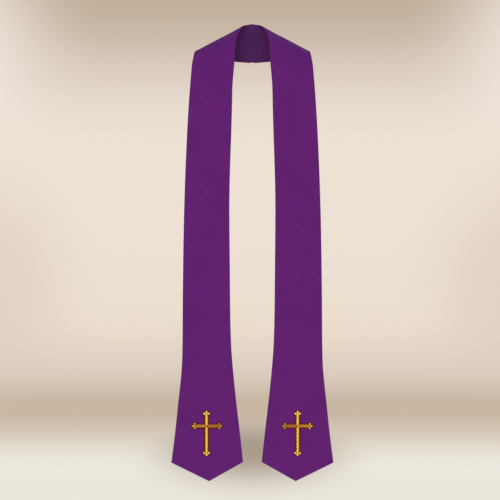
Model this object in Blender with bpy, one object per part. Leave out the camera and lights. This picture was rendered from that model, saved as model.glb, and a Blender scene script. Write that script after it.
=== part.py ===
"""A clerical stole, held open as it hangs on a wearer's neck and shoulders, with nobody in it.

Two mirrored halves are joined by a seam at the centre of the back. Each half runs outwards round the back of
the neck, turns over the shoulder and hangs down the front to a flared, pointed end. It is an outer cloth with
a lining behind it, and an embroidered cross lies on its end.

Metres, +Z up, the front faces -Y, and the wearer's left is +X. The origin is the middle of the neck, level
with the top of the shoulder fold. Lengths are written in millimetres and multiplied by MM.
"""

import math
from collections import namedtuple

import bmesh
import bpy
import numpy as np
from mathutils.geometry import delaunay_2d_cdt

MM = 0.001

FACE_WALL = 1.3  # the outer cloth with its interfacing
LINING_WALL = 1.0
SEAM_GAP = 0.3
LINING_INSET = 3.0  # the outer cloth is turned in this far past the lining's edge

# One row is a line laid straight across the cloth of the left half, from the edge nearest the neck (inner)
# to the edge nearest the arm (outer). The points are on the outer side of the cloth.
Section = namedtuple("Section", "inner_x inner_y inner_z outer_x outer_y outer_z")

BACK = [  # from the centre-back seam out to the top of the shoulder
    Section(0.0, 62.0, 9.4, 0.0, 70.5, -100.5),
    Section(7.0, 61.3, 8.7, 36.0, 69.5, -99.0),
    Section(14.2, 58.0, 7.4, 76.0, 65.5, -93.5),
    Section(20.3, 51.5, 6.2, 115.0, 54.5, -83.6),
    Section(24.6, 44.0, 4.6, 146.0, 36.0, -73.2),
]
SHOULDER = [  # the first is the crest of the fold, then down to the level rows of the front
    Section(28.2, 36.0, 1.9, 161.9, 9.0, -67.3),
    Section(34.6, 19.0, -8.4, 163.7, -8.0, -70.4),
    Section(41.4, -2.0, -20.6, 165.8, -23.0, -78.0),
    Section(46.2, -23.0, -38.0, 168.2, -35.0, -89.8),
    Section(48.9, -41.5, -64.0, 170.9, -44.0, -104.5),
    Section(50.5, -55.0, -97.0, 172.9, -50.5, -124.0),
]

# Level rows of the front: the two edges at one height.
Level = namedtuple("Level", "height inner_x inner_y outer_x outer_y")
FRONT = [
    Level(-149.0, 54.9, -64.0, 174.9, -55.5),
    Level(-205.9, 57.1, -69.5, 179.2, -60.5),
    Level(-319.5, 60.3, -74.5, 185.7, -65.5),
    Level(-489.9, 64.9, -77.5, 192.3, -69.0),
    Level(-660.3, 63.9, -78.5, 195.8, -71.5),
    Level(-830.7, 62.2, -78.5, 197.4, -72.5),
    Level(-930.1, 58.3, -77.5, 198.4, -73.0),
    Level(-972.7, 54.8, -77.0, 200.3, -73.0),
    Level(-1057.9, 46.2, -76.0, 208.9, -73.0),
    Level(-1143.1, 36.2, -75.5, 217.8, -73.0),
    Level(-1234.0, 26.4, -75.5, 229.2, -73.0),
]
HEM_STARTS = -1057.9  # below this height the rows turn from level to the pointed hem
HEM_INNER_CORNER = -1234.0
HEM_OUTER_CORNER = -1235.7
HEM_POINT_X = 122.4
HEM_POINT = -1288.2

COLUMNS_EACH_SIDE = 4  # of the line down to the point
BACK_STEP = 12.0  # how far apart rows are, along the middle of the cloth
SHOULDER_STEP = 10.0
FRONT_STEP = 38.0
HEM_ROWS = 5
HALVINGS = 40

CROSS_X = 129.6
CROSS_TOP = -1087.2
CROSS_BOTTOM = -1218.4
CROSSING = -1132.1
CROSS_SPAN = 86.9
UPRIGHT_WIDTH = 9.4
BAR_WIDTH = 10.5
CROSS_WALL = 1.3
BUD_RADIUS = 3.3
BUD_SPREAD = 6.2  # from the arm's middle line to a side bud
BUD_BACK = 9.0  # from the arm's tip to the side buds
BUD_SIDES = 12
KEEP_INSIDE = 1  # the triangulation's way to keep only what lies inside the outlines
WELD = 0.01
SHARP_ANGLE = 35

# Red, green and blue as light, roughness.
PURPLE = ((0.117, 0.016, 0.153), 0.75)
DARK_PURPLE = ((0.058, 0.0145, 0.076), 0.6)
GOLD = ((0.72, 0.35, 0.045), 0.4)


def clear_scene():
    for obj in list(bpy.data.objects):
        bpy.data.objects.remove(obj, do_unlink=True)


def material(name, finish):
    colour, roughness = finish
    made = bpy.data.materials.new(name)
    made.use_nodes = True
    shader = made.node_tree.nodes["Principled BSDF"]
    shader.inputs["Base Color"].default_value = (*colour, 1.0)
    shader.inputs["Roughness"].default_value = roughness
    return made


class Spline:
    """A natural cubic through rows of values, one row at each place."""

    def __init__(self, places, rows):
        self.places = np.asarray(places, float)
        self.rows = np.asarray(rows, float)
        step = np.diff(self.places)[:, None]
        rise = np.diff(self.rows, axis=0) / step
        count = len(self.places)
        system = np.eye(count)
        right = np.zeros_like(self.rows)
        for i in range(1, count - 1):
            before, after = step[i - 1, 0], step[i, 0]
            system[i, i - 1 : i + 2] = before, 2 * (before + after), after
            right[i] = 6 * (rise[i] - rise[i - 1])
        self.bend = np.linalg.solve(system, right)

    def at(self, place):
        i = int(np.clip(np.searchsorted(self.places, place) - 1, 0, len(self.places) - 2))
        width = self.places[i + 1] - self.places[i]
        a = (self.places[i + 1] - place) / width
        b = 1 - a
        curve = (a**3 - a) * self.bend[i] + (b**3 - b) * self.bend[i + 1]
        return a * self.rows[i] + b * self.rows[i + 1] + curve * width**2 / 6


def across(row, share):
    """The point that lies this share of the way from a row's inner edge to its outer edge."""
    return row[:3] + (row[3:] - row[:3]) * share


class HalfStole:
    """The outer side of the left half, as points in millimetres. Its rows are counted from the back seam."""

    def __init__(self):
        level = [
            Section(row.inner_x, row.inner_y, row.height, row.outer_x, row.outer_y, row.height)
            for row in FRONT
        ]
        rows = np.array(BACK + SHOULDER + level)
        middle = (rows[:, :3] + rows[:, 3:]) / 2
        along = np.concatenate([[0.0], np.cumsum(np.linalg.norm(np.diff(middle, axis=0), axis=1))])
        mirror = np.array([-1, 1, 1, -1, 1, 1])
        # The other half's first rows, mirrored, make the cloth smooth across the centre of the back.
        self.edges = Spline(
            np.concatenate([-along[3:0:-1], along]), np.concatenate([rows[3:0:-1] * mirror, rows])
        )
        self.crest = along[len(BACK)]
        self.level_from = along[len(BACK) + len(SHOULDER)]
        self.hem_from = along[len(rows) - 1 - sum(row.height < HEM_STARTS for row in FRONT)]
        self.last = along[-1]
        self.point_share = self.share_at(HEM_POINT_X, HEM_POINT)

    def along_at(self, height):
        """How far along the cloth the level row of this height is, found by halving."""
        low, high = self.level_from, self.last
        for _ in range(HALVINGS):
            middle = (low + high) / 2
            if self.edges.at(middle)[2] > height:
                low = middle
            else:
                high = middle
        return low

    def level_row(self, height):
        """The two edges at this height. Below the last row they run straight on."""
        end = self.edges.at(self.last)
        if height >= end[2]:
            return self.edges.at(self.along_at(height))
        above = self.edges.at(self.last - 1.0)
        return end + (end - above) / (end[2] - above[2]) * (height - end[2])

    def share_at(self, x, height):
        row = self.level_row(height)
        return (x - row[0]) / (row[3] - row[0])

    def front_point(self, x, height):
        return across(self.level_row(height), self.share_at(x, height))

    def hem_height(self, share):
        """How low the pointed hem is on the line that lies this share across the cloth."""
        if share < self.point_share:
            corner_x, corner = self.level_row(HEM_INNER_CORNER)[0], HEM_INNER_CORNER
        else:
            corner_x, corner = self.level_row(HEM_OUTER_CORNER)[3], HEM_OUTER_CORNER
        height = HEM_POINT
        for _ in range(HALVINGS):
            x = across(self.level_row(height), share)[0]
            height = HEM_POINT + (corner - HEM_POINT) * (x - HEM_POINT_X) / (corner_x - HEM_POINT_X)
        return height

    def shares(self):
        """The columns, with one on the line down to the point."""
        inner = np.linspace(0, self.point_share, COLUMNS_EACH_SIDE + 1)
        outer = np.linspace(self.point_share, 1, COLUMNS_EACH_SIDE + 1)
        return np.concatenate([inner, outer[1:]])

    def places(self):
        """The rows above the hem, as distances along the cloth."""
        marks = [0.0, self.crest, self.level_from, self.hem_from]
        stops = []
        for start, end, step in zip(marks, marks[1:], (BACK_STEP, SHOULDER_STEP, FRONT_STEP)):
            stops.extend(np.linspace(start, end, max(2, round((end - start) / step)) + 1)[:-1])
        return stops + [self.hem_from]

    def grid(self):
        """Rows of points over the whole half, from the seam at the centre of the back to the pointed hem."""
        rows = []
        for place in self.places():
            row = self.edges.at(place)
            rows.append([across(row, share) for share in self.shares()])
        top = HEM_STARTS
        for step in range(1, HEM_ROWS + 1):
            line = []
            for share in self.shares():
                height = top + (self.hem_height(share) - top) * step / HEM_ROWS
                line.append(across(self.level_row(height), share))
            rows.append(line)
        points = np.array(rows)
        points[0, :, 0] = SEAM_GAP / 2
        return points


def unit(vectors):
    return vectors / np.linalg.norm(vectors, axis=-1, keepdims=True)


def outward(points):
    """The direction out of the cloth at each point of a grid."""
    return unit(np.cross(np.gradient(points, axis=0), np.gradient(points, axis=1)))


def drawn_in(points, inset):
    """The same grid with its edges moved in, but for the seam at the centre of the back."""
    moved = points.copy()
    moved[:, 0] += unit(points[:, 1] - points[:, 0]) * inset
    moved[:, -1] += unit(points[:, -2] - points[:, -1]) * inset
    moved[-1] += unit(points[-2] - points[-1]) * inset
    return moved


def add_object(name, mesh_source, made_of, mirrored):
    """Turns a bmesh in millimetres into an object in metres, on the left side or mirrored to the right."""
    side = -1 if mirrored else 1
    for vert in mesh_source.verts:
        vert.co = (vert.co.x * side * MM, vert.co.y * MM, vert.co.z * MM)
    bmesh.ops.recalc_face_normals(mesh_source, faces=mesh_source.faces)
    mesh = bpy.data.meshes.new(name)
    mesh_source.to_mesh(mesh)
    mesh_source.free()
    obj = bpy.data.objects.new(name, mesh)
    bpy.context.scene.collection.objects.link(obj)
    mesh.materials.append(made_of)
    mesh.shade_smooth()
    mesh.set_sharp_from_angle(angle=math.radians(SHARP_ANGLE))


def wall(points, outwards, start, thickness):
    """A cloth wall from start to start + thickness behind a grid of points."""
    made = bmesh.new()
    rows, columns = points.shape[:2]
    front = [[made.verts.new(point) for point in row] for row in points - outwards * start]
    back = [[made.verts.new(point) for point in row] for row in points - outwards * (start + thickness)]
    for i in range(rows - 1):
        for j in range(columns - 1):
            made.faces.new((front[i][j], front[i + 1][j], front[i + 1][j + 1], front[i][j + 1]))
            made.faces.new((back[i][j], back[i][j + 1], back[i + 1][j + 1], back[i + 1][j]))
    rim = [(i, 0) for i in range(rows)]
    rim += [(rows - 1, j) for j in range(1, columns)]
    rim += [(i, columns - 1) for i in range(rows - 2, -1, -1)]
    rim += [(0, j) for j in range(columns - 2, 0, -1)]
    for (i, j), (k, l) in zip(rim, rim[1:] + rim[:1]):
        made.faces.new((front[i][j], back[i][j], back[k][l], front[k][l]))
    return made


def box_outline(low_x, high_x, low_z, high_z):
    return [(low_x, low_z), (high_x, low_z), (high_x, high_z), (low_x, high_z)]


def bud_outline(x, z):
    turns = [2 * math.pi * (k + 0.5) / BUD_SIDES for k in range(BUD_SIDES)]
    return [(x + BUD_RADIUS * math.cos(t), z + BUD_RADIUS * math.sin(t)) for t in turns]


def cross_outlines():
    """The overlapping shapes of a budded cross: two bars, and a diamond with three buds on each arm."""
    half_span = CROSS_SPAN / 2
    bar_end = half_span - BUD_RADIUS
    shapes = [
        box_outline(-UPRIGHT_WIDTH / 2, UPRIGHT_WIDTH / 2, CROSS_BOTTOM + BUD_RADIUS, CROSS_TOP - BUD_RADIUS),
        box_outline(-bar_end, bar_end, CROSSING - BAR_WIDTH / 2, CROSSING + BAR_WIDTH / 2),
    ]
    arms = [
        (0, CROSS_TOP, 0, 1),
        (0, CROSS_BOTTOM, 0, -1),
        (half_span, CROSSING, 1, 0),
        (-half_span, CROSSING, -1, 0),
    ]
    for tip_x, tip_z, out_x, out_z in arms:
        middle = (tip_x - out_x * BUD_BACK, tip_z - out_z * BUD_BACK)
        end = (tip_x - out_x * BUD_RADIUS, tip_z - out_z * BUD_RADIUS)
        sides = [(middle[0] + s * out_z * BUD_SPREAD, middle[1] + s * out_x * BUD_SPREAD) for s in (1, -1)]
        inner = (middle[0] - out_x * BUD_RADIUS, middle[1] - out_z * BUD_RADIUS)
        shapes.append([end, sides[0], inner, sides[1]])
        for x, z in (end, *sides):
            shapes.append(bud_outline(x, z))
    return shapes


def counterclockwise(outline):
    turned = zip(outline, outline[1:] + outline[:1])
    area = sum(a[0] * b[1] - b[0] * a[1] for a, b in turned)
    return outline if area > 0 else outline[::-1]


def cross_solid(half):
    """The cross as a raised plate on the end of the left half, its points taken from the cloth's."""
    points, faces = [], []
    for outline in cross_outlines():
        outline = counterclockwise(outline)
        faces.append(list(range(len(points), len(points) + len(outline))))
        points.extend(outline)
    flat, _, triangles, *_ = delaunay_2d_cdt(points, [], faces, KEEP_INSIDE, WELD)
    made = bmesh.new()
    back, front = [], []
    for place in flat:
        x, z = place[0] + CROSS_X, place[1]
        on_cloth = half.front_point(x, z)
        across = half.front_point(x + 1, z) - on_cloth
        down = half.front_point(x, z - 1) - on_cloth
        out = np.cross(down, across)
        out /= np.linalg.norm(out)
        back.append(made.verts.new(on_cloth + out * SEAM_GAP))
        front.append(made.verts.new(on_cloth + out * (SEAM_GAP + CROSS_WALL)))
    rim = set()
    for triangle in triangles:
        made.faces.new([front[i] for i in triangle])
        made.faces.new([back[i] for i in reversed(triangle)])
        for a, b in zip(triangle, triangle[1:] + triangle[:1]):
            if (b, a) in rim:
                rim.remove((b, a))
            else:
                rim.add((a, b))
    for a, b in sorted(rim):
        made.faces.new((front[b], front[a], back[a], back[b]))
    return made


def main():
    clear_scene()
    purple = material("purple_cloth", PURPLE)
    dark = material("dark_lining", DARK_PURPLE)
    gold = material("gold_thread", GOLD)
    half = HalfStole()
    cloth = half.grid()
    out = outward(cloth)
    lined = drawn_in(cloth, LINING_INSET)
    for side, mirrored in (("left", False), ("right", True)):
        add_object(f"{side}_face", wall(cloth, out, 0.0, FACE_WALL), purple, mirrored)
        add_object(f"{side}_lining", wall(lined, out, FACE_WALL + SEAM_GAP, LINING_WALL), dark, mirrored)
        add_object(f"{side}_cross", cross_solid(half), gold, mirrored)


main()
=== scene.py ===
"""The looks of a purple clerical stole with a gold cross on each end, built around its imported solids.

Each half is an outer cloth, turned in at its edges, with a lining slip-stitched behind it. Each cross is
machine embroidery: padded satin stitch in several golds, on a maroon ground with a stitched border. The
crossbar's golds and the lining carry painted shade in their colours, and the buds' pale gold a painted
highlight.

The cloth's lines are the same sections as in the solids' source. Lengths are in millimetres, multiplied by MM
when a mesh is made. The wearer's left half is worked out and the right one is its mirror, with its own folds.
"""

from collections import namedtuple
from math import cos, pi, radians, sin

import bpy
import numpy as np
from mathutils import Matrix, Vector
from mathutils.geometry import delaunay_2d_cdt


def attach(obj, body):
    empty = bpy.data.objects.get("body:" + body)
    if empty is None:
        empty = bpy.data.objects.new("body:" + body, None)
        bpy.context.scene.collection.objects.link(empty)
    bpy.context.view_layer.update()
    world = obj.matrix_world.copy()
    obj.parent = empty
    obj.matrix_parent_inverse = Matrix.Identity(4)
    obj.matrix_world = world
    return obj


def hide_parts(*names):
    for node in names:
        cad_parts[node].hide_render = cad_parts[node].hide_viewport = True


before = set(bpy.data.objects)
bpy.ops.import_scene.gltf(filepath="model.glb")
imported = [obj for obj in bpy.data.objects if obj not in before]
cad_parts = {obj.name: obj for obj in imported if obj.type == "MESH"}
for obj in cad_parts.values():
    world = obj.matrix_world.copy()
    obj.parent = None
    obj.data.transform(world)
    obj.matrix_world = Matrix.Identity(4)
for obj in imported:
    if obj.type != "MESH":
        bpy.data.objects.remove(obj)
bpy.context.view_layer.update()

MM = 0.001

# ---- the cloth's lines, as in the solids

FACE_WALL = 1.3
LINING_WALL = 0.8
LINING_GAP = 0.15
LINING_INSET = 3.0
SEAM_GAP = 0.01

# One row is a line straight across the cloth, from the edge nearest the neck to the edge nearest the arm.
Section = namedtuple("Section", "inner_x inner_y inner_z outer_x outer_y outer_z")
BACK = [
    Section(0.0, 62.0, 9.4, 0.0, 70.5, -100.5),
    Section(7.0, 61.3, 8.7, 36.0, 69.5, -99.0),
    Section(14.2, 58.0, 7.4, 76.0, 65.5, -93.5),
    Section(20.3, 51.5, 6.2, 115.0, 54.5, -83.6),
    Section(24.6, 44.0, 4.6, 146.0, 36.0, -73.2),
]
SHOULDER = [
    Section(28.2, 36.0, 1.9, 161.9, 9.0, -67.3),
    Section(34.6, 19.0, -8.4, 163.7, -8.0, -70.4),
    Section(41.4, -2.0, -20.6, 165.8, -23.0, -78.0),
    Section(46.2, -23.0, -38.0, 168.2, -35.0, -89.8),
    Section(48.9, -41.5, -64.0, 170.9, -44.0, -104.5),
    Section(50.5, -55.0, -97.0, 172.9, -50.5, -124.0),
]


def level(height, inner_x, inner_y, outer_x, outer_y):
    """A row whose two ends are at the same height."""
    return Section(inner_x, inner_y, height, outer_x, outer_y, height)


FRONT = [
    level(-149.0, 54.9, -64.0, 174.9, -55.5),
    level(-205.9, 57.1, -69.5, 179.2, -60.5),
    level(-319.5, 60.3, -74.5, 185.7, -65.5),
    level(-489.9, 64.9, -77.5, 192.3, -69.0),
    level(-660.3, 63.9, -78.5, 195.8, -71.5),
    level(-830.7, 62.2, -78.5, 197.4, -72.5),
    level(-930.1, 58.3, -77.5, 198.4, -73.0),
    level(-972.7, 54.8, -77.0, 200.3, -73.0),
    level(-1057.9, 46.2, -76.0, 208.9, -73.0),
    level(-1143.1, 36.2, -75.5, 217.8, -73.0),
    level(-1234.0, 26.4, -75.5, 229.2, -73.0),
]
HEM_STARTS = -1057.9
HEM_INNER_CORNER = -1234.0
HEM_OUTER_CORNER = -1235.7
HEM_POINT_X = 122.4
HEM_POINT = -1288.2
BELOW_HEM = -1300.0

ROW_STEP = 3.2
COLUMNS_EACH_SIDE = 24
FRONT_SAMPLES = 1500
HEM_ROUNDS = 40
RIM_SEGMENTS = 4
MIRRORED_ROWS = 3  # rows of the other half that keep the line smooth across the seam

# ---- folds

# A fold is a soft ridge, or a trough where its height is negative, that runs along the cloth from one place
# to another. Places are millimetres along the half from the centre of the back, and shares of the way across.
Fold = namedtuple("Fold", "start start_share end end_share width height")
SHARED_FOLDS = [  # these cross the seam at the centre of the back
    Fold(-150, 0.22, 190, 0.30, 15, -1.0),
    Fold(-110, 0.62, 130, 0.62, 20, 1.1),
]
LEFT_FOLDS = [
    Fold(95, 0.42, 520, 0.24, 13, 1.7),
    Fold(120, 0.66, 640, 0.52, 19, -2.4),
    Fold(205, 0.93, 700, 0.86, 15, 1.8),
    Fold(330, 0.06, 830, 0.14, 12, -1.5),
    Fold(480, 0.36, 1080, 0.33, 22, 2.2),
    Fold(610, 0.72, 1190, 0.70, 24, -2.3),
    Fold(800, 0.97, 1330, 0.93, 17, 2.2),
    Fold(900, 0.08, 1390, 0.10, 19, -2.0),
    Fold(1010, 0.50, 1420, 0.47, 27, 1.5),
]
RIGHT_FOLDS = [
    Fold(90, 0.50, 450, 0.34, 15, 1.6),
    Fold(140, 0.78, 590, 0.68, 18, -2.1),
    Fold(240, 0.10, 760, 0.18, 12, -1.6),
    Fold(360, 0.90, 900, 0.92, 16, 2.0),
    Fold(430, 0.46, 960, 0.50, 24, 2.3),
    Fold(660, 0.24, 1230, 0.22, 20, -2.2),
    Fold(780, 0.76, 1300, 0.74, 23, -1.9),
    Fold(960, 0.98, 1400, 0.95, 18, 1.8),
    Fold(1040, 0.42, 1430, 0.46, 25, 1.6),
]
FOLD_WANDER = 0.022  # as a share of the cloth's width
FOLD_WANDER_LENGTH = 190.0
FOLD_WANDER_SHIFT = 3
FOLD_UNEVENNESS = 0.35
TURNING_WIDTH = 9.5  # the cloth is doubled this far in from its edges
TURNING_SOFTNESS = 2.5
TURNING_HEIGHT = 0.16
SEAM_PUCKER = 0.3
SEAM_PUCKER_WIDTH = 6.0
SAG = 2.8  # how far the cloth gives at the arm end of the shoulder's ridge
SAG_SPREAD = 0.35  # and moves this share of it outwards
SAG_REACH = 45.0
SAG_FROM = 0.2  # as shares of the way across
SAG_TO = 1.1
NOTCH_HEIGHT = 1.3  # the seam draws the lower edge of the back up this far, with a drop on each side
NOTCH_WIDTH = 2.2
NOTCH_FADE = 6
NOTCH_SIDE_DROP = 0.8
NOTCH_SIDE = 5.7
NOTCH_SIDE_WIDTH = 3.2

# ---- the cross

LEFT_CROSS_X = 128.3
RIGHT_CROSS_X = 129.6
CROSS_TOP = -1089.0
CROSS_BOTTOM = -1216.4
CROSSING = -1132.1
OUTER_REACH = 41.8
INNER_REACH = 43.2
UPRIGHT_WIDTH = 8.4
BAR_WIDTH = 9.3
BUD_RADIUS = 2.8
BUD_SPREAD = 6.4
BAR_BUD_RADIUS = 1.9  # those on the crossbar are smaller
BUD_BACK = 7.9
BUD_BLUNT = 1.08
BUD_SIDES = 28
HEAD_BACK = 14.5  # from the arm's tip to the inner end of its diamond
HEAD_FRONT = 1.0
HEAD_SPREAD = 7.4
HEAD_EDGING = 0.65  # half the width of the pale line along its outer edges
UPPER_GAP = 1.8  # the arms stop this far from the middle, where the ground shows
LOWER_GAP = 2.9
BAR_GAP = 1.7
MITRE = 6.0  # how far from the crossing each arm reaches its full width
GROUND_GROW = 1.5  # the maroon ground reaches this far past the gold
GROUND_SHIFT = 0.4  # and lies this much towards the arm side
GROUND_WALL = 0.5
GROUND_LIFT = 0.03
GROUND_MESH = 3.0
KEEP_INSIDE = 1  # the triangulation's way to keep only what lies inside the outlines
WELD = 0.01
PATH_STEP = 0.8

# How high a stitch arches, as a share of its half width, and how far up its two ends are.
GOLD_LIFT = GROUND_WALL + 0.1
HEAD_RISE = 0.13
EDGING_RISE = 0.5
EDGING_LIFT = GOLD_LIFT + 0.4
BUD_RISE = 0.36
END_BUD_LIFT = GOLD_LIFT + 0.6
SIDE_BUD_LIFT = GOLD_LIFT + 0.3
LEAST_WIDTH = 0.05
LEAST_RISE = 0.1

# An arm's satin: its full width, the length over which it narrows at its tip and to what share, how far it
# stops from the arm's tip, its rise, and how far up the diamond at the arm's tip lies.
Satin = namedtuple("Satin", "width taper tip stops rise head_lift")
UPRIGHT_SATIN = Satin(UPRIGHT_WIDTH, 12.0, 0.3, 1.6 * BUD_RADIUS, 0.46, GOLD_LIFT)
BAR_SATIN = Satin(BAR_WIDTH, 4.0, 0.6, 11.5, 0.32, GOLD_LIFT + 0.35)

PADDING_WIDTH = 0.86  # as shares of the threads above it
PADDING_HEIGHT = 0.55
PADDING_DEPTH = 0.05
PADDING_SLICES = 9
PADDING_SKIPS = 6  # points left out at each end of an arm, where its slanting threads start
BORDER_STEP = 0.4
BORDER_REACH = 3  # each point of the border's line is averaged with this many on each side
BORDER_HALF_WIDTH = 1.7
BORDER_RISE = 0.5
BORDER_LIFT = GROUND_WALL - 0.1
SLIP_HALF_WIDTH = 0.8
SLIP_RISE = 0.25
SLIP_PAST = 0.1  # the slip stitches lie this far past the lining's edge
SLIP_DEPTH = 0.75  # and this share of the way through it
SLIP_FROM_ROW = 2  # the seam at the centre of the back has none

# How a piece is sewn: the thread's radius and pitch, its slant in degrees, the pitch and depth of the twist
# that the threads lie in, which swells them and paints light on its ridges, how much painted shade darkens
# them towards their ends, the seed of their unevenness, their finish.
Stitching = namedtuple("Stitching", "thread pitch slant twist_pitch twist_depth end_shade seed finish")
CROSS_STITCHES = {
    "edge": Stitching(0.21, 0.40, 24, 5.0, 0.0, 0.0, 16, "maroon_thread"),
    "upper": Stitching(0.26, 0.42, 30, 9.0, 0.08, 1.0, 11, "bright_gold_thread"),
    "lower": Stitching(0.26, 0.42, 38, 10.6, 0.24, 1.25, 12, "bright_gold_thread"),
    "outer_bar": Stitching(0.26, 0.42, 30, 7.4, 0.26, 0.7, 13, "deep_gold_painted_shade_thread"),
    "inner_bar": Stitching(0.26, 0.42, 18, 5.8, 0.2, 0.4, 18, "amber_painted_shade_thread"),
    "heads": Stitching(0.24, 0.40, 0, 7.0, 0.0, 0.0, 14, "mid_gold_thread"),
    "inner_head": Stitching(0.24, 0.40, 0, 7.0, 0.0, 0.0, 14, "old_gold_thread"),
    "edging": Stitching(0.20, 0.36, 20, 5.0, 0.0, 0.0, 19, "dull_gold_thread"),
    "buds": Stitching(0.24, 0.38, 0, 7.0, 0.0, 0.1, 15, "pale_gold_painted_highlight_thread"),
    "dull_buds": Stitching(0.24, 0.38, 0, 7.0, 0.0, 0.1, 15, "dull_gold_thread"),
}
PADDED_SHAFTS = ("upper", "lower", "outer_bar", "inner_bar")
PADDED_ENDS = ("heads", "inner_head", "buds", "dull_buds")
SLIP_STITCHES = Stitching(0.20, 7.5, 52, 5.0, 0.0, 0.0, 17, "purple_sewing_thread")
SLANT_JITTER = 2.5  # in degrees
WIDTH_JITTER = 0.03
BASE_TONE = 0.96  # from 0, a thread's shade colour, to 1, its light one
TWIST_PAINTED_LIGHT = 1.5
TONE_JITTER = 0.22
ARCH_SEGMENTS = 6
THREAD_SIDES = 4

# ---- finishes


def as_light(colour):
    """A finish's colour, from the red, green and blue that a screen shows."""
    shares = [value / 255 for value in colour]
    return (*(s / 12.92 if s <= 0.04045 else ((s + 0.055) / 1.055) ** 2.4 for s in shares), 1)


# Cloth: its colours in the light and in the shade, and the pitch and depth of its weave in millimetres.
# Its tone runs between the two with random slubs and clouds, and with painted shade between its threads.
Weave = namedtuple("Weave", "light shade pitch depth roughness specular")
WEAVES = {
    "purple_vestment_cloth": Weave((94, 30, 102), (68, 19, 76), 0.6, 0.12, 0.9, 0.06),
    # The lining is darker than the cloth, partly its own colour and partly painted shade for the hollow
    # inside the neck.
    "lining_satin_with_painted_shade": Weave((74, 28, 80), (52, 17, 58), 0.45, 0.05, 0.6, 0.08),
}
CLOTH_SHEEN = 0.01
CLOTH_SHEEN_ROUGHNESS = 0.5
NOISE_DETAIL = 2.0
CLOUD_DETAIL = 3.0
CLOUD_SCALE = 14.0  # a scale is how many cells of noise there are in a metre
CLOUD_TONE = 0.5
CLOUD_BASE = -0.05
DRIFT_SCALE = 160.0
DRIFT = 0.55  # how far a thread wanders, as a share of the pitch
SLUB_SCALES = ((900, 45, 1), (45, 900, 1))  # along one set of threads and along the other
SLUB_TONE = 1.5
SLUB_BASE = -0.55
SLUB_HEIGHT = 1.6
WEAVE_PAINTED_SHADE = 0.45

# Thread: its colours in the light and in the shade, and how it shines. The golds are part metal.
# Its tone runs between the two with random unevenness, painted light and shade along the twist, and
# painted shade towards the two ends of the satin's stitches.
Thread = namedtuple("Thread", "light shade roughness metallic specular", defaults=(0.0, 0.5))
THREADS = {
    "bright_gold_thread": Thread((255, 222, 80), (196, 104, 18), 0.26, 0.72),
    # The crossbar's deep gold and amber are partly the threads' own tints and partly painted shade: the
    # upright's gold, darker because the crossbar's stitches run across the light.
    "deep_gold_painted_shade_thread": Thread((203, 140, 46), (134, 66, 20), 0.38, 0.6),
    "mid_gold_thread": Thread((198, 138, 6), (150, 98, 6), 0.4, 0.5),
    "amber_painted_shade_thread": Thread((183, 112, 43), (142, 72, 24), 0.42, 0.5),
    "old_gold_thread": Thread((148, 106, 6), (104, 70, 2), 0.42, 0.5),
    # The buds' pale gold is partly painted highlight, where their domes catch the light.
    "pale_gold_painted_highlight_thread": Thread((255, 226, 136), (242, 182, 84), 0.34, 0.7),
    "dull_gold_thread": Thread((220, 166, 92), (176, 124, 62), 0.42, 0.5),
    "maroon_thread": Thread((92, 26, 12), (64, 13, 8), 0.7, specular=0.12),
    "gold_padding": Thread((170, 112, 36), (142, 72, 24), 0.6),
    "purple_sewing_thread": Thread((94, 30, 102), (68, 19, 76), 0.5),
}
GRAIN_SCALE = 2600.0
GRAIN_TONE = 0.5
GRAIN_STRENGTH = 0.5
GRAIN_DEPTH = 0.1


class Spline:
    """A natural cubic through rows of values, one row at each place."""

    def __init__(self, places, rows):
        self.places = np.asarray(places, float)
        self.rows = np.asarray(rows, float)
        step = np.diff(self.places)[:, None]
        rise = np.diff(self.rows, axis=0) / step
        count = len(self.places)
        system = np.eye(count)
        right = np.zeros_like(self.rows)
        for i in range(1, count - 1):
            before, after = step[i - 1, 0], step[i, 0]
            system[i, i - 1 : i + 2] = before, 2 * (before + after), after
            right[i] = 6 * (rise[i] - rise[i - 1])
        self.bend = np.linalg.solve(system, right)

    def at(self, places):
        places = np.asarray(places, float)
        i = np.clip(np.searchsorted(self.places, places) - 1, 0, len(self.places) - 2)
        width = (self.places[i + 1] - self.places[i])[..., None]
        a = (self.places[i + 1] - places)[..., None] / width
        b = 1 - a
        curve = (a**3 - a) * self.bend[i] + (b**3 - b) * self.bend[i + 1]
        return a * self.rows[i] + b * self.rows[i + 1] + curve * width**2 / 6


def across(rows, shares):
    """The points that lie these shares of the way from each row's inner edge to its outer edge."""
    return rows[..., :3] + (rows[..., 3:] - rows[..., :3]) * np.asarray(shares)[..., None]


def unit(vectors):
    return vectors / np.linalg.norm(vectors, axis=-1, keepdims=True)


def outward(points):
    """The direction out of the cloth at each point of a grid."""
    return unit(np.cross(np.gradient(points, axis=0), np.gradient(points, axis=1)))


def distances(points):
    """How far along the line through these points each of them lies."""
    return np.concatenate([[0.0], np.cumsum(np.linalg.norm(np.diff(points, axis=0), axis=1))])


def resampled(values, places, wanted):
    """Rows of values, known at some places, at the places that are wanted."""
    return np.stack([np.interp(wanted, places, column) for column in values.T], axis=-1)


def smooth_step(low, high, values):
    share = np.clip((values - low) / (high - low), 0, 1)
    return share * share * (3 - 2 * share)


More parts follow.
